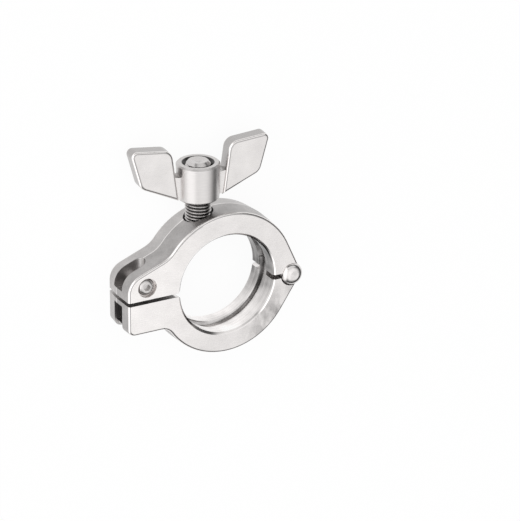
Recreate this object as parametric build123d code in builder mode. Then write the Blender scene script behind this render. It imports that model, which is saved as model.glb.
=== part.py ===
from build123d import *
import math
import os

# KF 25 hinged flange clamp, cast stainless steel, in millimetres.
# The clamp lies on its rear face.  +Z is the axis of the flange joint and points
# out of the front face, +Y runs up the wing nut's stud, and the jaws part along
# the XZ plane.  The origin is the centre of the bore, halfway between the faces.

# ---- driving dimensions ------------------------------------------------------

# Bore and groove
body_thickness = 14.0        # clamp, face to face
lip_radius = 15.8            # bore through the two lips
lip_chamfer = 0.7            # outer edge of each lip
groove_depth = 1.1           # shallow groove between the lips
groove_width = 4.1           # groove at its mouth
groove_slant = 0.3           # slant of each groove wall, over its depth
groove_edge = 0.3            # broken edge of the groove

# Outside of the jaws
upper_radius = 23.2          # upper jaw, at the ridge of its outer face
lower_radius = 22.7          # lower jaw, at the ridge of its outer face
ridge_setback = 0.8          # casting ridge, behind the middle of the thickness
front_draft = 2.0            # outer face, ridge to front face, degrees
rear_draft = 4.5             # outer face, ridge to rear face, degrees
edge_round = 0.8             # rounded rim of the flat faces
split_gap = 1.2              # between the ears while the clamp is closed
inner_corner_round = 1.2     # corner of each jaw between its bore and its ear

# Ears
ear_reach = 33.3             # bore axis to the end of the ears
nose_radius = 6.0            # upper ear, round end
nose_height = 3.1            # centre of the round end above the parting plane
shoulder_slope = 21.5        # upper ear, slope of its top, degrees
shoulder_blend = 8.0         # concave blend from the upper ear to the ring
lower_ear_depth = 10.7       # lower ear, below the parting plane
lower_ear_corner = 2.4       # lower ear, bottom corner
lower_ear_blend = 4.0        # concave blend from the lower ear to the ring
slot_width = 5.2             # slots of both ears
slot_reach = 9.0             # length of the ear slots, from the end of the ears
upper_web = 2.3              # web under the upper ear's slot
lower_web = 1.4              # web over the lower ear's window
lower_window = 6.4           # height of the lower ear's window
web_setback = 0.9            # bottom web of the lower ear, behind the ear's outline
web_reach = 5.0              # length of that setback

# Hinge
hinge_inset = 1.0            # hinge pin inside the upper jaw's ridge
hinge_drop = 1.2             # hinge pin below the parting plane
hinge_gap = 1.5              # between the jaws beside the hinge
fork_width = 4.4             # slot between the fork's cheeks, open to the bore
knuckle_radius = 3.5
knuckle_clearance = 0.3      # round the knuckles
tongue_clearance = 0.1       # each side of the tongue in the fork
hinge_pin_radius = 1.5
pin_running_clearance = 0.05
rivet_head_radius = 3.5
rivet_head_height = 1.7
rivet_head_flat = 1.4        # radius of the flat on the domed head
rivet_head_bulge = 0.4       # bulge of its dome beyond a straight cone
rivet_tail_radius = 2.3      # spread tail in its countersink
rivet_tail_depth = 0.8
tail_setback = 0.1           # tail inside the rear face

# Ear screw
ear_screw_inset = 6.4        # end of the ears to ear screw
ear_screw_height = 4.5       # ear screw above the parting plane
ear_screw_radius = 2.0
screw_head_radius = 2.7
screw_head_height = 1.5
screw_head_rim = 0.5         # straight side of the domed head
screw_head_flat = 1.6        # radius of the flat round the socket
screw_head_bulge = 0.15      # bulge of its dome beyond a straight cone
screw_end_chamfer = 0.4
screw_socket_radius = 1.15   # hexagon socket, across corners / 2
screw_socket_depth = 0.9
counterbore_radius = 3.05
counterbore_depth = 1.7
screw_end_setback = 0.5      # screw end inside the rear face

# Stud and wing nut
stud_offset = 6.4            # stud axis from the bore axis, towards the ears
stud_radius = 4.0            # M8
stud_clearance = 0.02        # stud in its tapped hole
stud_stand_out = 0.6         # end of the stud beyond the wing nut
stud_chamfer = 1.05
stud_root_wall = 1.0         # left between the stud's hole and the groove floor
stud_dimple_radius = 1.9
stud_dimple_depth = 0.6
relief_width = 0.5           # relief round the mouth of the tapped hole
relief_depth = 0.9
nut_seat = 27.0              # underside of the wing nut above the parting plane
nut_height = 11.4
nut_foot_radius = 6.35
nut_top_radius = 6.65
nut_edge = 0.5
nut_bore_clearance = 0.06    # thread clearance on the stud
nut_mouth_radius = 4.9       # countersink at the top of the nut
nut_mouth_depth = 0.8

# Wings, measured in their own plane from the nut's axis and its underside
wing_turn = 5.0              # wings turned towards the front face, degrees
wing_thickness = 5.2
wing_edge = 0.85             # rounded rim of the wings
wing_root = (7.0, 0.8)       # lower inner corner
wing_heel = (19.1, 6.3)      # lower outer corner
wing_tip = (22.4, 18.4)      # upper outer corner
wing_neck = (9.2, 17.0)      # upper inner corner
heel_round = 3.5
tip_round = 1.6
neck_round = 3.2
web_thickness = 4.0          # web that carries each wing on the nut
web_top = 8.3                # top of that web above the nut's underside

# ---- sizes that follow -------------------------------------------------------

half_gap = split_gap / 2
front = body_thickness / 2    # height of the front face
rear = -body_thickness / 2    # height of the rear face
front_run = front + ridge_setback
rear_run = -ridge_setback - rear
beyond = 60.0                 # reach of a cut that runs right through
groove_radius = lip_radius + groove_depth
hinge_reach = upper_radius - hinge_inset
hinge_centre = (hinge_reach, -hinge_drop)
ear_screw_reach = ear_reach - ear_screw_inset
stud_root = groove_radius + stud_root_wall

os.makedirs("parts", exist_ok=True)


def at(height):
    """Plane parallel to the flat faces, at this height above the middle."""
    return Plane.XY.offset(height)


def polar(radius, turn, centre=(0, 0)):
    """Point on a circle round a centre, turn in radians from +X."""
    return (centre[0] + radius * math.cos(turn), centre[1] + radius * math.sin(turn))


def hinge_lug(ring_radius, side):
    """Outline between the ring and the hinge knuckle: side +1 upper, -1 lower."""
    lean = math.atan2(-hinge_drop, hinge_reach)
    spread = math.acos((ring_radius - knuckle_radius) / math.hypot(hinge_reach, hinge_drop))
    turn = lean + side * spread
    ring_point = polar(ring_radius, turn)
    knuckle_point = polar(knuckle_radius, turn, hinge_centre)
    far_side = (hinge_reach + knuckle_radius, -hinge_drop - side * 2 * knuckle_radius)
    with BuildLine() as lug:
        Polyline((0, 0), ring_point, knuckle_point, far_side, (0, far_side[1]), close=True)
    make_face(lug.edges())


def round_flat_rims(jaw):
    """Round the rims of the front and rear faces of a jaw."""
    faces = jaw.faces().sort_by(Axis.Z)
    fillet(faces[-1].edges() + faces[0].edges(), edge_round)


def ear_slot(low, high):
    """End-milled slot through the end of an ear, between two heights in Y."""
    end_x = -ear_reach + slot_reach - slot_width / 2
    floor = Plane((0, low, 0), x_dir=(1, 0, 0), z_dir=(0, 1, 0))
    with BuildSketch(floor) as slot:
        with Locations((end_x, 0)):
            Circle(slot_width / 2)
            Rectangle(beyond, slot_width, align=(Align.MAX, Align.CENTER))
    extrude(slot.sketch, amount=high - low, mode=Mode.SUBTRACT)


def stud_plane(height):
    """Plane across the stud's axis, at this height above the parting plane."""
    return Plane((-stud_offset, height, 0), x_dir=(1, 0, 0), z_dir=(0, 1, 0))


# ---- bore and parting cut, shared by both jaws -------------------------------

mouth_top = groove_width / 2
floor_top = mouth_top - groove_slant
flare = lip_chamfer + 1

with BuildPart() as bore:
    with BuildSketch(Plane.XZ) as bore_profile:
        with BuildLine():
            Polyline(
                (0, rear - 1),
                (lip_radius + flare, rear - 1),
                (lip_radius, rear + lip_chamfer),
                (lip_radius, -mouth_top - groove_edge),
                (lip_radius + groove_edge, -mouth_top),
                (groove_radius, -floor_top),
                (groove_radius, floor_top),
                (lip_radius + groove_edge, mouth_top),
                (lip_radius, mouth_top + groove_edge),
                (lip_radius, front - lip_chamfer),
                (lip_radius + flare, front + 1),
                (0, front + 1),
                close=True,
            )
        make_face()
    revolve(axis=Axis.Z)

with BuildPart() as ear_mouth:
    with BuildSketch(Plane.XY) as mouth_outline:
        Circle(lip_radius)
        Rectangle(beyond, split_gap, align=(Align.MAX, Align.CENTER))
        corners = mouth_outline.vertices().filter_by(lambda v: v.X > -ear_reach)
        fillet(corners, inner_corner_round)
    extrude(amount=body_thickness, both=True)

with BuildPart() as mouth_relief:
    with BuildSketch(stud_plane(0)):
        Circle(stud_radius + relief_width)
    extrude(amount=upper_radius + 1)
    Cylinder(upper_radius - relief_depth, 4 * body_thickness, mode=Mode.SUBTRACT)

# ---- upper jaw: ring, nosed ear and hinge fork -------------------------------

slope = math.radians(shoulder_slope)
nose_x = nose_radius - ear_reach
nose_top = (nose_x - nose_radius * math.sin(slope), nose_height + nose_radius * math.cos(slope))
shoulder_end = (0, nose_top[1] - nose_top[0] * math.tan(slope))
ear_foot = -2 * knuckle_radius
shoulder_room = 0.85 * (ear_reach - upper_radius)    # the blend ends before the nose

with BuildPart() as upper_jaw:
    with BuildSketch(at(-ridge_setback)) as upper_outline:
        Circle(upper_radius)
        hinge_lug(upper_radius, 1)
        with BuildLine():
            Line((-ear_reach, ear_foot), (-ear_reach, nose_height))
            TangentArc((-ear_reach, nose_height), nose_top, tangent=(0, 1))
            Line(nose_top, shoulder_end)
            Line(shoulder_end, (0, ear_foot))
            Line((0, ear_foot), (-ear_reach, ear_foot))
        make_face()
        shoulder = upper_outline.vertices().sort_by_distance((-upper_radius, upper_radius / 2))[0]
        fillet(shoulder, min(shoulder_blend, shoulder_room))
    extrude(upper_outline.sketch, amount=rear_run, taper=rear_draft)
    mirror(about=at(-ridge_setback), mode=Mode.REPLACE)
    extrude(amount=front_run, taper=front_draft)
    round_flat_rims(upper_jaw)
    with BuildSketch(Plane.XY):
        with Locations((0, half_gap)):
            Rectangle(beyond, beyond, align=(Align.MAX, Align.MAX))
        with Locations((0, -hinge_drop + hinge_gap / 2)):
            Rectangle(beyond, beyond, align=(Align.MIN, Align.MAX))
        with Locations(hinge_centre):
            Circle(knuckle_radius, mode=Mode.SUBTRACT)
    extrude(amount=body_thickness, both=True, mode=Mode.SUBTRACT)
    with BuildSketch(Plane.XY):
        with Locations(hinge_centre):
            Circle(knuckle_radius + knuckle_clearance)
            Rectangle(
                hinge_reach,
                2 * (knuckle_radius + knuckle_clearance),
                align=(Align.MAX, Align.CENTER),
            )
    extrude(amount=fork_width / 2, both=True, mode=Mode.SUBTRACT)
    add(bore.part, mode=Mode.SUBTRACT)
    add(ear_mouth.part, mode=Mode.SUBTRACT)
    ear_slot(half_gap + upper_web, beyond)
    with Locations((-ear_screw_reach, ear_screw_height, front)):
        CounterBoreHole(ear_screw_radius, counterbore_radius, counterbore_depth)
    with Locations((*hinge_centre, rear)):
        Hole(hinge_pin_radius)
        Cone(
            rivet_tail_radius,
            hinge_pin_radius,
            rivet_tail_depth,
            align=(Align.CENTER, Align.CENTER, Align.MIN),
            mode=Mode.SUBTRACT,
        )
    with BuildSketch(stud_plane(stud_root)):
        Circle(stud_radius + stud_clearance)
    extrude(amount=upper_radius, mode=Mode.SUBTRACT)
    add(mouth_relief.part, mode=Mode.SUBTRACT)
upper_jaw.part.label = "upper_jaw"
export_step(upper_jaw.part, "parts/upper_jaw.step")

# ---- lower jaw: ring, square ear with a window, and hinge tongue -------------

window_top = -half_gap - lower_web
window_floor = window_top - lower_window
tongue_width = fork_width - 2 * tongue_clearance

with BuildPart() as lower_jaw:
    with BuildSketch(at(-ridge_setback)) as lower_outline:
        Circle(lower_radius)
        hinge_lug(lower_radius, -1)
        with Locations((-ear_reach, -lower_ear_depth)):
            Rectangle(ear_reach, 2 * lower_ear_depth, align=(Align.MIN, Align.MIN))
        heel = lower_outline.vertices().sort_by_distance((-ear_reach, -lower_ear_depth))[0]
        fillet(heel, lower_ear_corner)
        hollow = lower_outline.vertices().sort_by_distance((-lower_radius, -lower_ear_depth))[0]
        fillet(hollow, lower_ear_blend)
    extrude(lower_outline.sketch, amount=rear_run, taper=rear_draft)
    mirror(about=at(-ridge_setback), mode=Mode.REPLACE)
    extrude(amount=front_run, taper=front_draft)
    round_flat_rims(lower_jaw)
    with BuildSketch(Plane.XY):
        with Locations((0, -half_gap)):
            Rectangle(beyond, beyond, align=(Align.MAX, Align.MIN))
        with Locations((0, -hinge_drop - hinge_gap / 2)):
            Rectangle(beyond, beyond, align=(Align.MIN, Align.MIN))
    extrude(amount=body_thickness, both=True, mode=Mode.SUBTRACT)
    with BuildSketch(Plane.XY):
        with Locations(hinge_centre):
            Circle(knuckle_radius)
            Rectangle(hinge_reach, 2 * knuckle_radius, align=(Align.MAX, Align.CENTER))
    extrude(amount=tongue_width / 2, both=True)
    with BuildSketch(at(tongue_width / 2), at(-tongue_width / 2 - body_thickness)):
        with Locations(hinge_centre):
            Circle(knuckle_radius + knuckle_clearance)
    extrude(amount=body_thickness, mode=Mode.SUBTRACT)
    add(bore.part, mode=Mode.SUBTRACT)
    add(ear_mouth.part, mode=Mode.SUBTRACT)
    ear_slot(window_floor, window_top)
    with Locations((*hinge_centre, 0)):
        Hole(hinge_pin_radius + pin_running_clearance)
    with BuildSketch(Plane.XY) as setback:
        with Locations((-ear_reach, window_floor)):
            Rectangle(2 * web_reach, 2 * lower_ear_depth, align=(Align.CENTER, Align.MAX))
        with BuildSketch(mode=Mode.SUBTRACT) as web:
            with Locations((web_setback - ear_reach, web_setback - lower_ear_depth)):
                Rectangle(beyond, beyond, align=(Align.MIN, Align.MIN))
            web_heel = web.vertices().sort_by_distance((-ear_reach, -lower_ear_depth))[0]
            fillet(web_heel, lower_ear_corner - web_setback)
    extrude(amount=slot_width / 2, both=True, mode=Mode.SUBTRACT)
lower_jaw.part.label = "lower_jaw"
export_step(lower_jaw.part, "parts/lower_jaw.step")

# ---- hinge pin: domed rivet with a spread tail -------------------------------

pin_axis = Axis((*hinge_centre, 0), (0, 0, 1))
head_top = front + rivet_head_height
tail_end = rear + tail_setback
tail_slope = (rivet_tail_radius - hinge_pin_radius) / rivet_tail_depth
tail_radius = rivet_tail_radius - tail_slope * tail_setback

with BuildPart() as hinge_pin:
    with BuildSketch(Plane(pin_axis.position, x_dir=(1, 0, 0), z_dir=(0, -1, 0))):
        with BuildLine():
            Polyline(
                (rivet_head_flat, head_top),
                (0, head_top),
                (0, tail_end),
                (tail_radius, tail_end),
                (hinge_pin_radius, rear + rivet_tail_depth),
                (hinge_pin_radius, front),
                (rivet_head_radius, front),
            )
            SagittaArc((rivet_head_radius, front), (rivet_head_flat, head_top), -rivet_head_bulge)
        make_face()
    revolve(axis=pin_axis)
hinge_pin.part.label = "hinge_pin"
export_step(hinge_pin.part, "parts/hinge_pin.step")

# ---- ear screw: low domed head with a hexagon socket -------------------------

screw_axis = Axis((-ear_screw_reach, ear_screw_height, 0), (0, 0, 1))
head_seat = front - counterbore_depth
screw_end = rear + screw_end_setback
screw_top = head_seat + screw_head_height

with BuildPart() as ear_screw:
    with BuildSketch(Plane(screw_axis.position, x_dir=(1, 0, 0), z_dir=(0, -1, 0))):
        with BuildLine():
            Polyline(
                (screw_head_flat, screw_top),
                (0, screw_top),
                (0, screw_end),
                (ear_screw_radius, screw_end),
                (ear_screw_radius, head_seat),
                (screw_head_radius, head_seat),
                (screw_head_radius, head_seat + screw_head_rim),
            )
            SagittaArc(
                (screw_head_radius, head_seat + screw_head_rim),
                (screw_head_flat, screw_top),
                -screw_head_bulge,
            )
        make_face()
    revolve(axis=screw_axis)
    chamfer(ear_screw.edges().group_by(Axis.Z)[0], screw_end_chamfer)
    with BuildSketch(Plane((-ear_screw_reach, ear_screw_height, screw_top))):
        RegularPolygon(screw_socket_radius, 6)
    extrude(amount=-screw_socket_depth, mode=Mode.SUBTRACT)
ear_screw.part.label = "ear_screw"
export_step(ear_screw.part, "parts/ear_screw.step")

# ---- stud, screwed into its blind hole ----------------------------------------

stud_top = nut_seat + nut_height + stud_stand_out

with BuildPart() as stud:
    with BuildSketch(stud_plane(stud_root)):
        Circle(stud_radius)
    extrude(amount=stud_top - stud_root)
    chamfer(stud.edges().group_by(Axis.Y)[-1], stud_chamfer)
    with Locations(stud_plane(stud_top).offset(-stud_dimple_depth)):
        Cone(
            0,
            stud_dimple_radius,
            stud_dimple_depth,
            align=(Align.CENTER, Align.CENTER, Align.MIN),
            mode=Mode.SUBTRACT,
        )
stud.part.label = "stud"
export_step(stud.part, "parts/stud.step")

# ---- wing nut ----------------------------------------------------------------

turn = math.radians(wing_turn)
wing_frame = Plane(
    (-stud_offset, nut_seat, 0),
    x_dir=(math.cos(turn), 0, math.sin(turn)),
    z_dir=(-math.sin(turn), 0, math.cos(turn)),
)

nut_axis = Axis((-stud_offset, 0, 0), (0, 1, 0))
other_side = Plane(wing_frame.origin, z_dir=wing_frame.x_dir)

with BuildPart() as wing:
    with BuildSketch(wing_frame) as blade:
        with BuildLine():
            Polyline(wing_root, wing_heel, wing_tip, wing_neck, close=True)
        make_face()
        fillet(blade.vertices().sort_by_distance(wing_heel)[0], heel_round)
        fillet(blade.vertices().sort_by_distance(wing_tip)[0], tip_round)
        fillet(blade.vertices().sort_by_distance(wing_neck)[0], neck_round)
    extrude(amount=wing_thickness / 2, both=True)
    flat_sides = wing.faces().filter_by(Plane(wing_frame.origin, z_dir=wing_frame.z_dir))
    fillet(flat_sides.edges(), wing_edge)
    with BuildSketch(wing_frame):
        with BuildLine():
            Polyline(
                (nut_foot_radius - 1.5, wing_root[1]),
                (wing_root[0] + 1, wing_root[1] + 0.5),
                (wing_root[0] + 1.5, web_top),
                (nut_foot_radius - 1.5, web_top - 0.5),
                close=True,
            )
        make_face()
    extrude(amount=web_thickness / 2, both=True)

with BuildPart() as wing_nut:
    with BuildSketch(wing_frame):
        with BuildLine():
            Polyline(
                (0, 0),
                (nut_foot_radius, 0),
                (nut_top_radius, nut_height),
                (0, nut_height),
                close=True,
            )
        make_face()
    revolve(axis=nut_axis)
    chamfer(wing_nut.edges().group_by(Axis.Y)[0], nut_edge)
    chamfer(wing_nut.edges().group_by(Axis.Y)[-1], nut_edge)
    add(wing.part)
    mirror(wing.part, about=other_side)
    with BuildSketch(stud_plane(0)):
        Circle(stud_radius + nut_bore_clearance)
    extrude(amount=2 * nut_seat, mode=Mode.SUBTRACT)
    with Locations(stud_plane(nut_seat + nut_height - nut_mouth_depth)):
        Cone(
            stud_radius + nut_bore_clearance,
            nut_mouth_radius,
            nut_mouth_depth,
            align=(Align.CENTER, Align.CENTER, Align.MIN),
            mode=Mode.SUBTRACT,
        )
wing_nut.part.label = "wing_nut"
export_step(wing_nut.part, "parts/wing_nut.step")
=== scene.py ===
import math

import bpy
from mathutils import Matrix, Vector


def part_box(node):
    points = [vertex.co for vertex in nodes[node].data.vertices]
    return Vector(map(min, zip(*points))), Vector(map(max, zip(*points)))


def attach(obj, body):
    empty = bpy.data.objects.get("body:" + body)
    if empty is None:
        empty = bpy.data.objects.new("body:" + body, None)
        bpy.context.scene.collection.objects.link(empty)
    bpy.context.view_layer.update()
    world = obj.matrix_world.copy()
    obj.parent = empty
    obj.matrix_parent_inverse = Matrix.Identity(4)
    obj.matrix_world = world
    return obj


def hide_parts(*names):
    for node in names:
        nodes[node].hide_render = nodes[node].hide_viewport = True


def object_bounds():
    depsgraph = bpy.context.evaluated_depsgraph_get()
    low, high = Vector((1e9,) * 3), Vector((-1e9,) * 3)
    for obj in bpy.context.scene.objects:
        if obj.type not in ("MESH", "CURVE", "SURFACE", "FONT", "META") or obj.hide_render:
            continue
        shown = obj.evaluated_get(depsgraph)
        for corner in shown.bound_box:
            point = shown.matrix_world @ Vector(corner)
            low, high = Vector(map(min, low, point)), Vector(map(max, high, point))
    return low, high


# Looks of the KF 25 flange clamp: satin stainless castings with ground flat faces,
# turned and polished bore, rivet, screw and nut, and a real thread on the stud.
# The clamp lies on its rear face: +Z is up, +Y runs up the stud, and the bore's axis
# is the Z axis.  Lengths are in metres.

MM = 0.001

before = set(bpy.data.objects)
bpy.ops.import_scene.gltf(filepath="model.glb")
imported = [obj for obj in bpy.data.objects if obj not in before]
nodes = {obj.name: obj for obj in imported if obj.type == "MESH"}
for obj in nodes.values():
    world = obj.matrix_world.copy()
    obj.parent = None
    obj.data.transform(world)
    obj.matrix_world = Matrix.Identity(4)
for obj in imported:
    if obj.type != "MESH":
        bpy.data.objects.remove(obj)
cad_low, cad_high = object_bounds()

# ---- measures read from the solids -------------------------------------------


def middle(node, axis):
    """Middle of a node along one axis."""
    low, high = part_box(node)
    return (low[axis] + high[axis]) / 2


stud_low, stud_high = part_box("stud")
stud_x = middle("stud", 0)
stud_z = middle("stud", 2)
stud_radius = (stud_high[0] - stud_low[0]) / 2
screw_x = middle("ear_screw", 0)
screw_y = middle("ear_screw", 1)
face_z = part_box("upper_jaw")[1][2]

# ---- helpers for node trees --------------------------------------------------


class Nodes:
    """A node tree under construction, with short helpers for its nodes."""

    def __init__(self, tree):
        self.tree = tree

    def add(self, kind, **settings):
        node = self.tree.nodes.new(kind)
        for key, value in settings.items():
            setattr(node, key, value)
        return node

    def link(self, source, target):
        self.tree.links.new(source, target)

    def feed(self, sockets, values):
        """Sets each input socket to a number, or links it to another node's output."""
        for socket, value in zip(sockets, values):
            if isinstance(value, (int, float)):
                socket.default_value = value
            else:
                self.link(value, socket)

    def split(self, vector):
        node = self.add("ShaderNodeSeparateXYZ")
        self.link(vector, node.inputs[0])
        return node.outputs

    def math(self, operation, *values):
        node = self.add("ShaderNodeMath", operation=operation)
        self.feed(node.inputs, values)
        return node.outputs[0]

    def sum(self, *terms):
        """Weighted sum of (weight, value) pairs."""
        total = None
        for weight, value in terms:
            part = self.math("MULTIPLY", value, weight)
            total = part if total is None else self.math("ADD", total, part)
        return total

    def both(self, *masks):
        """Mask of the places that lie in every one of these masks."""
        shared = masks[0]
        for mask in masks[1:]:
            shared = self.math("MULTIPLY", shared, mask)
        return shared

    def outside(self, mask):
        """Mask of the places that this mask leaves out."""
        return self.math("SUBTRACT", 1.0, mask)

    def away(self, first, second, at_first=0.0, at_second=0.0):
        """Distance from the line where two coordinates have these values."""
        one = self.math("SUBTRACT", first, at_first)
        two = self.math("SUBTRACT", second, at_second)
        squares = self.math("MULTIPLY", one, one), self.math("MULTIPLY", two, two)
        return self.math("SQRT", self.math("ADD", *squares))

    def noise(self, vector, size, detail=3.0):
        """Noise between 0 and 1 with features about this long."""
        node = self.add("ShaderNodeTexNoise")
        node.inputs["Scale"].default_value = 1.0 / size
        node.inputs["Detail"].default_value = detail
        node.inputs["Roughness"].default_value = 0.55
        self.link(vector, node.inputs["Vector"])
        return node.outputs["Fac"]

    def span(self, value, low, high, to_low=0.0, to_high=1.0):
        """value from low..high to to_low..to_high, held at both ends."""
        node = self.add("ShaderNodeMapRange", clamp=True)
        self.feed(node.inputs, (value, low, high, to_low, to_high))
        return node.outputs[0]

    def mix(self, mask, first, second):
        """Number that is second inside the mask and first outside it."""
        node = self.add("ShaderNodeMix", data_type="FLOAT")
        self.link(mask, node.inputs["Factor"])
        self.feed(node.inputs[2:4], (first, second))
        return node.outputs[0]


class Material(Nodes):
    """A material, with an object's coordinates and normal at hand."""

    def __init__(self, name, metallic=1.0):
        self.data = bpy.data.materials.new(name)
        self.data.use_nodes = True
        super().__init__(self.data.node_tree)
        self.shader = self.tree.nodes["Principled BSDF"]
        self.shader.inputs["Metallic"].default_value = metallic
        coords = self.add("ShaderNodeTexCoord")
        self.coords = coords.outputs["Object"]
        self.x, self.y, self.z = self.split(self.coords)
        _, self.normal_y, self.normal_z = self.split(coords.outputs["Normal"])

    def stretched(self, scale):
        """The object's coordinates with each axis scaled: a small factor draws a pattern out."""
        node = self.add("ShaderNodeMapping")
        node.inputs["Scale"].default_value = scale
        self.link(self.coords, node.inputs["Vector"])
        return node.outputs["Vector"]

    def strokes(self):
        """Noise drawn out along X, as a belt leaves it."""
        return self.noise(self.stretched(ALONG_X), STROKE_SIZE)

    def steel(self, tone):
        """Colour of stainless steel of this tone, slightly warm."""
        node = self.add("ShaderNodeCombineColor")
        self.feed(node.inputs, [self.math("MULTIPLY", tone, share) for share in STEEL_TINT])
        return node.outputs[0]

    def bump(self, height, distance):
        node = self.add("ShaderNodeBump")
        node.inputs["Distance"].default_value = distance
        self.link(height, node.inputs["Height"])
        self.link(node.outputs["Normal"], self.shader.inputs["Normal"])

    def finish(self, tone, roughness):
        self.link(self.steel(tone), self.shader.inputs["Base Color"])
        self.link(roughness, self.shader.inputs["Roughness"])
        return self.data


# ---- materials ---------------------------------------------------------------

STEEL_TINT = (1.0, 0.968, 0.955)

# Where a mask begins and where it is full.  How squarely a surface faces up or down
# runs from 0 on a side wall to 1 on a flat face.
JAW_FLAT = (0.93, 0.99)
NUT_FLAT = (0.95, 0.985)
ROUNDED = (0.12, 0.30)
RIM_SHADE_BEGIN = (0.80, 0.88)
RIM_SHADE_END = (0.99, 0.975)
SLOT_WALL = (0.3, 0.5)
NEAR_FACE = (face_z - 1.1 * MM, face_z - 0.9 * MM)
NEAR_SCREW = (3.3 * MM, 3.1 * MM)
RECESS_FLOOR = (4.8 * MM, 5.0 * MM)
NEAR_STUD = (stud_radius + 0.7 * MM, stud_radius + 0.5 * MM)
RING_TOP = (14 * MM, 15 * MM)
BORE_RADIUS = (17.6 * MM, 17.2 * MM)
BORE_END = (face_z - 0.2 * MM, face_z - 0.4 * MM)
BOSS_RADIUS = (7.0 * MM, 6.8 * MM)
MOUTH_RADIUS = (5.0 * MM, 4.8 * MM)
STUD_END = (stud_high[1] - 1.4 * MM, stud_high[1] - 1.2 * MM)
ROOT_TO_CREST = (stud_radius - 0.5 * MM, stud_radius - 0.05 * MM)

# Where a noise mostly lies between 0 and 1.
PATCH_SPAN = (0.34, 0.62)
WING_PATCH_SPAN = (0.34, 0.64)
BORE_PATCH_SPAN = (0.36, 0.62)
POLISH_PATCH_SPAN = (0.35, 0.65)
LINE_SPAN = (0.3, 0.7)

# Sizes of the marks that the work left and of the painted reflection patches, and how a pattern is
# drawn out.
CLOUD_SIZE = 6.0 * MM
WING_CLOUD_SIZE = 5.0 * MM
SPECKLE_SIZE = 0.5 * MM
STROKE_SIZE = 0.25 * MM
REFLECTION_PATCH_SIZE = 3.5 * MM
RING_MARK_SIZE = 0.9 * MM
SHADE_SIZE = 5.0 * MM
TURNING_SIZE = 0.12 * MM
POLISH_CLOUD_SIZE = 2.5 * MM
POLISH_LINE_SIZE = 0.3 * MM
THREAD_LINE_SIZE = 0.4 * MM
CAST_BUMP = 0.010 * MM
FINE_BUMP = 0.004 * MM
BORE_BUMP_SHARE = 0.3            # how high the turning marks stand beside the cast grain
ALONG_X = (0.08, 1.0, 1.0)
ALONG_Y = (1.0, 0.5, 1.0)
ALONG_Z = (1.0, 1.0, 0.6)
ROUND_Z = (0.04, 0.04, 1.0)
ROUND_Y = (0.05, 1.0, 0.05)

# Tones, from black at 0 to white at 1.
GROUND_TONE = (0.71, 0.80)       # flat faces, dull to bright patches
CAST_TONE = (0.34, 0.48)         # outer faces, as cast and blasted
MILLED_TONE = 0.46               # inside the slots, in the gaps
RIM_TONE = 0.88                  # polished rounded rims
RIM_SHADE_TONE = 0.36                 # painted shade, a thin dark line where each rim starts
BORE_TONE = (0.26, 0.56)         # machined bore
BORE_FACING = (0.0, 0.95)        # how squarely the bore faces up the stud
BORE_FACING_LIGHT = (-0.24, 0.48)        # painted light where it faces up the stud, painted shade where it faces down
HOLE_SHADE_TONE = 0.06               # painted shade, near black, in the gaps round the stud
WING_TONE = (0.62, 0.72)         # flats of the wings
WING_SIDE_TONE = 0.46
BOSS_TONE = (0.61, 0.67)
THREAD_LIGHT_AND_SHADE = (0.05, 0.62)       # painted shade in the roots, painted highlight on the crests
STUD_END_TONE = 0.62
PIN_TONE = (0.60, 0.76)
SCREW_TONE = (0.42, 0.66)

# The ground faces carry painted darker reflections in patches at the lower right, and a painted
# brighter reflection toward the ears.
DARK_REFLECTION_X = (3 * MM, 16 * MM)
DARK_REFLECTION_Y = (-3 * MM, -12 * MM)
REFLECTION_PATCH_SPAN = (0.38, 0.58)
DARK_REFLECTION_LOSS = 0.38
EAR_X = (-6 * MM, -22 * MM)
EAR_LIGHT_GAIN = 0.10

# The outer faces carry a painted highlight along a line near mid-depth, and painted light on their
# rear part.
RIDGE_Z = -0.8 * MM
RIDGE_WIDTH = (0.28 * MM, 0.12 * MM)
RIDGE_HIGHLIGHT_GAIN = 0.35
BEHIND_Z = (-0.9 * MM, -0.7 * MM)
BEHIND_LIGHT_GAIN = 0.10

# Roughness, smooth and rough lines of each finish.
GROUND_ROUGH = (0.24, 0.34)
CAST_ROUGH = 0.34
RIM_ROUGH = 0.14
BORE_ROUGH = 0.16
WING_SIDE_ROUGH = 0.26
WING_RIM_ROUGH = 0.13
BOSS_ROUGH = 0.34
THREAD_ROUGH = (0.18, 0.28)
PIN_ROUGH = (0.10, 0.20)
SCREW_ROUGH = (0.12, 0.22)


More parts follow.
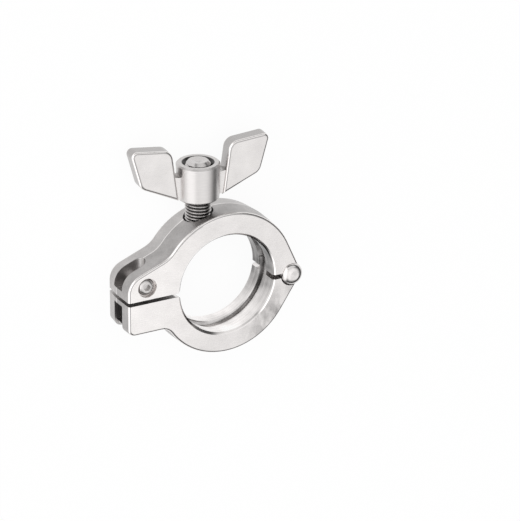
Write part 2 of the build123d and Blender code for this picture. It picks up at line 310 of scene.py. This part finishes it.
def jaw_steel():
    """Casting with ground flat faces, blasted outer faces, polished rims and a turned bore."""
    m = Material("jaw_steel")
    cloud = m.noise(m.coords, CLOUD_SIZE)
    speckle = m.noise(m.coords, SPECKLE_SIZE)
    strokes = m.strokes()
    patches = m.sum((0.6, cloud), (0.4, speckle))
    square = m.math("ABSOLUTE", m.normal_z)
    depth = m.math("ABSOLUTE", m.z)
    near_face = m.span(depth, *NEAR_FACE)
    flat = m.both(m.span(square, *JAW_FLAT), near_face)
    rim = m.both(m.span(square, *ROUNDED), m.outside(flat), near_face)
    # painted shade: a thin dark line where each rim starts
    rim_start_shade = m.both(m.span(square, *RIM_SHADE_BEGIN), m.span(square, *RIM_SHADE_END), near_face)
    milled = m.both(m.span(square, *SLOT_WALL), m.outside(near_face))
    # painted light: the screw's counterbore floor takes the bright rim tone
    from_screw = m.away(m.x, m.y, screw_x, screw_y)
    counterbore_light = m.both(m.span(from_screw, *NEAR_SCREW), m.span(m.z, *RECESS_FLOOR))
    # painted shade: near black in the gap round the stud on top of the ring
    from_stud = m.away(m.x, m.z, stud_x, stud_z)
    stud_gap_shade = m.both(m.span(from_stud, *NEAR_STUD), m.span(m.y, *RING_TOP))
    in_bore = m.both(m.span(m.away(m.x, m.y), *BORE_RADIUS), m.span(depth, *BORE_END))

    # painted darker reflection in patches at the lower right, painted brighter reflection toward
    # the ears
    dark_reflection = m.both(m.span(m.x, *DARK_REFLECTION_X), m.span(m.y, *DARK_REFLECTION_Y))
    reflection_patches = m.span(m.noise(m.stretched(ALONG_Y), REFLECTION_PATCH_SIZE, detail=2.0), *REFLECTION_PATCH_SPAN)
    toward_ears = m.span(m.x, *EAR_X)
    ground = m.span(patches, *PATCH_SPAN, *GROUND_TONE)
    ground = m.sum((1.0, ground), (-DARK_REFLECTION_LOSS, m.both(dark_reflection, reflection_patches)), (EAR_LIGHT_GAIN, toward_ears))

    # painted highlight along a line near mid-depth, painted light on the rear part of the outer
    # faces
    from_ridge = m.math("ABSOLUTE", m.math("SUBTRACT", m.z, RIDGE_Z))
    ridge_highlight = m.span(from_ridge, *RIDGE_WIDTH)
    behind = m.span(m.z, *BEHIND_Z, BEHIND_LIGHT_GAIN, 0.0)
    cast = m.span(patches, *PATCH_SPAN, *CAST_TONE)
    cast = m.sum((1.0, cast), (1.0, behind), (RIDGE_HIGHLIGHT_GAIN, ridge_highlight))

    rings = m.noise(m.stretched(ROUND_Z), RING_MARK_SIZE, detail=2.0)
    shade = m.noise(m.stretched(ALONG_Z), SHADE_SIZE, detail=2.0)
    bore = m.span(m.sum((0.4, rings), (0.6, shade)), *BORE_PATCH_SPAN, *BORE_TONE)
    # painted light where the bore faces up the stud, painted shade where it faces down
    bore = m.math("ADD", bore, m.span(m.normal_y, *BORE_FACING, *BORE_FACING_LIGHT))

    tone = m.mix(rim, m.mix(flat, cast, ground), RIM_TONE)
    # painted shade where each rim starts, painted light in the screw's counterbore, painted shade
    # round the stud
    tone = m.mix(rim_start_shade, tone, RIM_SHADE_TONE)
    tone = m.mix(milled, tone, MILLED_TONE)
    tone = m.mix(counterbore_light, tone, RIM_TONE)
    tone = m.mix(stud_gap_shade, tone, HOLE_SHADE_TONE)
    tone = m.mix(in_bore, tone, bore)

    rough = m.mix(flat, CAST_ROUGH, m.span(strokes, *LINE_SPAN, *GROUND_ROUGH))
    rough = m.mix(rim, rough, RIM_ROUGH)
    rough = m.mix(in_bore, rough, BORE_ROUGH)
    height = m.sum((0.5, strokes), (0.5, speckle))
    m.bump(m.mix(in_bore, height, m.math("MULTIPLY", rings, BORE_BUMP_SHARE)), CAST_BUMP)
    return m.finish(tone, rough)


def nut_steel():
    """Cast wings with brushed flats and polished rims, on a turned boss."""
    m = Material("nut_steel")
    cloud = m.noise(m.coords, WING_CLOUD_SIZE)
    strokes = m.strokes()
    turning = m.noise(m.stretched(ROUND_Y), TURNING_SIZE, detail=2.0)
    patches = m.sum((0.5, cloud), (0.5, strokes))
    radius = m.away(m.x, m.z, stud_x, stud_z)
    boss = m.span(radius, *BOSS_RADIUS)
    # painted shade, near black, in the opening round the stud
    opening_shade = m.span(radius, *MOUTH_RADIUS)
    square = m.math("ABSOLUTE", m.normal_z)
    flat = m.span(square, *NUT_FLAT)
    rim = m.both(m.span(square, *ROUNDED), m.outside(flat))
    # painted shade: a thin dark line where each rim starts
    rim_start_shade = m.both(m.span(square, *RIM_SHADE_BEGIN), m.span(square, *RIM_SHADE_END))

    wing = m.mix(flat, WING_SIDE_TONE, m.span(patches, *WING_PATCH_SPAN, *WING_TONE))
    # painted shade where each rim starts
    wing = m.mix(rim_start_shade, m.mix(rim, wing, RIM_TONE), RIM_SHADE_TONE)
    tone = m.mix(boss, wing, m.span(turning, *LINE_SPAN, *BOSS_TONE))
    # painted shade round the stud
    tone = m.mix(opening_shade, tone, HOLE_SHADE_TONE)

    rough = m.mix(flat, WING_SIDE_ROUGH, m.span(strokes, *LINE_SPAN, *GROUND_ROUGH))
    rough = m.mix(rim, rough, WING_RIM_ROUGH)
    rough = m.mix(boss, rough, BOSS_ROUGH)
    m.bump(m.mix(boss, strokes, turning), FINE_BUMP)
    return m.finish(tone, rough)


def turned_steel(name, tones, roughness):
    """Turned and polished stainless steel."""
    m = Material(name)
    cloud = m.noise(m.coords, POLISH_CLOUD_SIZE)
    lines = m.noise(m.coords, POLISH_LINE_SIZE)
    m.bump(lines, FINE_BUMP)
    tone = m.span(cloud, *POLISH_PATCH_SPAN, *tones)
    return m.finish(tone, m.span(lines, *LINE_SPAN, *roughness))


def threaded_steel():
    """Thread: painted highlight on the crests, painted shade in the roots, bright turned end."""
    m = Material("threaded_steel")
    radius = m.away(m.x, m.z, stud_x, stud_z)
    # painted shade in the roots, painted highlight on the crests
    thread = m.span(radius, *ROOT_TO_CREST, *THREAD_LIGHT_AND_SHADE)
    tone = m.mix(m.span(m.y, *STUD_END), thread, STUD_END_TONE)
    lines = m.noise(m.coords, THREAD_LINE_SIZE)
    return m.finish(tone, m.span(lines, *LINE_SPAN, *THREAD_ROUGH))


def dress(material, *names):
    """Gives CAD nodes their material."""
    for name in names:
        mesh = nodes[name].data
        mesh.materials.clear()
        mesh.materials.append(material)


threaded = threaded_steel()
dress(jaw_steel(), "upper_jaw", "lower_jaw")
dress(nut_steel(), "wing_nut")
dress(turned_steel("polished_steel", PIN_TONE, PIN_ROUGH), "hinge_pin")
dress(turned_steel("screw_steel", SCREW_TONE, SCREW_ROUGH), "ear_screw")
dress(threaded, "stud")

# ---- threaded stud -----------------------------------------------------------

THREAD_PITCH = 1.0 * MM
THREAD_DEPTH = 0.60 * MM
CREST_SHARE = 0.14               # share of the pitch that is flat crest
ROOT_SHARE = 0.16                # share of the pitch that is rounded root
END_CHAMFER = 1.05 * MM
DIMPLE_RADIUS = 1.9 * MM
DIMPLE_FLOOR_RADIUS = 0.4 * MM
DIMPLE_DEPTH = 0.54 * MM
TURN_STEPS = 96
PITCH_STEPS = 18
SHARP_ANGLE = math.radians(38)


def thread_radius(turn, height):
    """Radius of the threaded stud at an angle round it and a height on it."""
    phase = (height / THREAD_PITCH - turn / math.tau) % 1.0
    away = abs(phase - 0.5) * 2
    groove = (1 - CREST_SHARE - away) / (1 - CREST_SHARE - ROOT_SHARE)
    groove = min(1.0, max(0.0, groove))
    return stud_radius - THREAD_DEPTH * groove


def ring(height, radius_at):
    """Ring of points round the stud's axis, its radius a function of the angle."""
    points = []
    for step in range(TURN_STEPS):
        turn = math.tau * step / TURN_STEPS
        radius = radius_at(turn)
        points.append((stud_x + radius * math.cos(turn), height, stud_z + radius * math.sin(turn)))
    return points


def skin(ring_count):
    """Faces between rings that follow one another, closed by a face at both ends."""
    faces = []
    for start in range(0, (ring_count - 1) * TURN_STEPS, TURN_STEPS):
        for step in range(TURN_STEPS):
            near, beside = start + step, start + (step + 1) % TURN_STEPS
            faces.append((near, near + TURN_STEPS, beside + TURN_STEPS, beside))
    last = (ring_count - 1) * TURN_STEPS
    faces.append(tuple(range(TURN_STEPS)))
    faces.append(tuple(range(last + TURN_STEPS - 1, last - 1, -1)))
    return faces


def threaded_stud():
    """Stud with a right-handed M8 thread, a chamfered top and a centre dimple."""
    low, high = stud_low[1], stud_high[1]
    rows = round((high - low) / THREAD_PITCH * PITCH_STEPS)
    points = []
    for row in range(rows + 1):
        height = low + (high - low) * row / rows
        limit = stud_radius - max(0.0, height - (high - END_CHAMFER))
        points += ring(height, lambda turn: min(limit, thread_radius(turn, height)))
    points += ring(high, lambda turn: DIMPLE_RADIUS)
    points += ring(high - DIMPLE_DEPTH, lambda turn: DIMPLE_FLOOR_RADIUS)
    mesh = bpy.data.meshes.new("threaded_stud")
    mesh.from_pydata(points, [], skin(len(points) // TURN_STEPS))
    mesh.validate()
    mesh.materials.append(threaded)
    for polygon in mesh.polygons:
        polygon.use_smooth = True
    mesh.set_sharp_from_angle(angle=SHARP_ANGLE)
    piece = bpy.data.objects.new("threaded_stud", mesh)
    bpy.context.scene.collection.objects.link(piece)
    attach(piece, "upper_clamp")
    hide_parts("stud")


threaded_stud()

# ---- floor, light and camera -------------------------------------------------

FLOOR_HALF = 1.5
FLOOR_COLOR = (0.95, 0.95, 0.95, 1.0)
FLOOR_ROUGH = 0.9
FLOOR_GLOW = 0.93                # share of the floor that is plain white to what looks at it

# Brightness of the room at heights from level, 0, to overhead, 1.
SKY = ((0.0, 0.10), (0.44, 0.10), (0.64, 0.66), (0.76, 1.08), (0.95, 1.3))
# Lit parts of the room along one direction: where each begins, where it is full, how bright.
SKY_LEFT = (-0.35, -0.62, 0.0, 1.55)
SKY_BACK = (0.55, 0.72, 0.0, 0.95)
SKY_BACK_LOW = (0.18, 0.30)

EYE_MM = (-324.18, 314.629, 607.687)
TOWARD = (0.444483, -0.409825, -0.796542)
UP = (0.189957, 0.912108, -0.363285)
SENSOR_MM = 36.0
LENS_MM = 173.08


def floor():
    """White floor that keeps the clamp's shadow."""
    bpy.ops.mesh.primitive_plane_add(size=2 * FLOOR_HALF, location=(0, 0, cad_low.z))
    plane = bpy.context.object
    plane.name = "floor"
    m = Material("floor", metallic=0.0)
    m.shader.inputs["Base Color"].default_value = FLOOR_COLOR
    m.shader.inputs["Roughness"].default_value = FLOOR_ROUGH
    rays = m.add("ShaderNodeLightPath").outputs
    seen = m.math("MAXIMUM", rays["Is Camera Ray"], rays["Is Glossy Ray"])
    seen = m.math("MAXIMUM", seen, rays["Is Transmission Ray"])
    glow = m.add("ShaderNodeEmission")
    glow.inputs["Color"].default_value = (1, 1, 1, 1)
    glow.inputs["Strength"].default_value = 1.0
    mix = m.add("ShaderNodeMixShader")
    m.feed(mix.inputs, (m.math("MULTIPLY", seen, FLOOR_GLOW), m.shader.outputs[0], glow.outputs[0]))
    m.link(mix.outputs[0], m.tree.nodes["Material Output"].inputs["Surface"])
    plane.data.materials.append(m.data)


def sky():
    """Soft room: bright overhead, on its left and low at the back, dark round the rest."""
    world = bpy.data.worlds.new("studio")
    bpy.context.scene.world = world
    world.use_nodes = True
    n = Nodes(world.node_tree)
    x, y, z = n.split(n.add("ShaderNodeTexCoord").outputs["Generated"])
    ramp = n.add("ShaderNodeValToRGB")
    n.link(z, ramp.inputs["Fac"])
    stops = ramp.color_ramp.elements
    while len(stops) < len(SKY):
        stops.new(0.5)
    for stop, (place, shade) in zip(stops, SKY):
        stop.position = place
        stop.color = (shade, shade, shade, 1.0)
    back = n.both(n.span(y, *SKY_BACK), n.span(z, *SKY_BACK_LOW))
    panels = n.math("MAXIMUM", n.span(x, *SKY_LEFT), back)
    light = n.math("MAXIMUM", ramp.outputs["Color"], panels)
    n.link(light, n.tree.nodes["Background"].inputs["Color"])


def camera():
    """Looks down on the clamp from in front of its ears, with the stud pointing up the frame."""
    data = bpy.data.cameras.new("camera")
    data.sensor_fit = "HORIZONTAL"
    data.sensor_width = SENSOR_MM
    data.lens = LENS_MM
    data.clip_start = 0.01
    data.clip_end = 10.0
    eye = bpy.data.objects.new("camera", data)
    toward = Vector(TOWARD).normalized()
    right = toward.cross(Vector(UP).normalized()).normalized()
    up = right.cross(toward)
    turn = Matrix((right, up, -toward)).transposed().to_4x4()
    eye.matrix_world = Matrix.Translation(Vector(EYE_MM) * MM) @ turn
    bpy.context.scene.collection.objects.link(eye)
    bpy.context.scene.camera = eye


floor()
sky()
camera()
bpy.context.scene.view_settings.view_transform = "Standard"
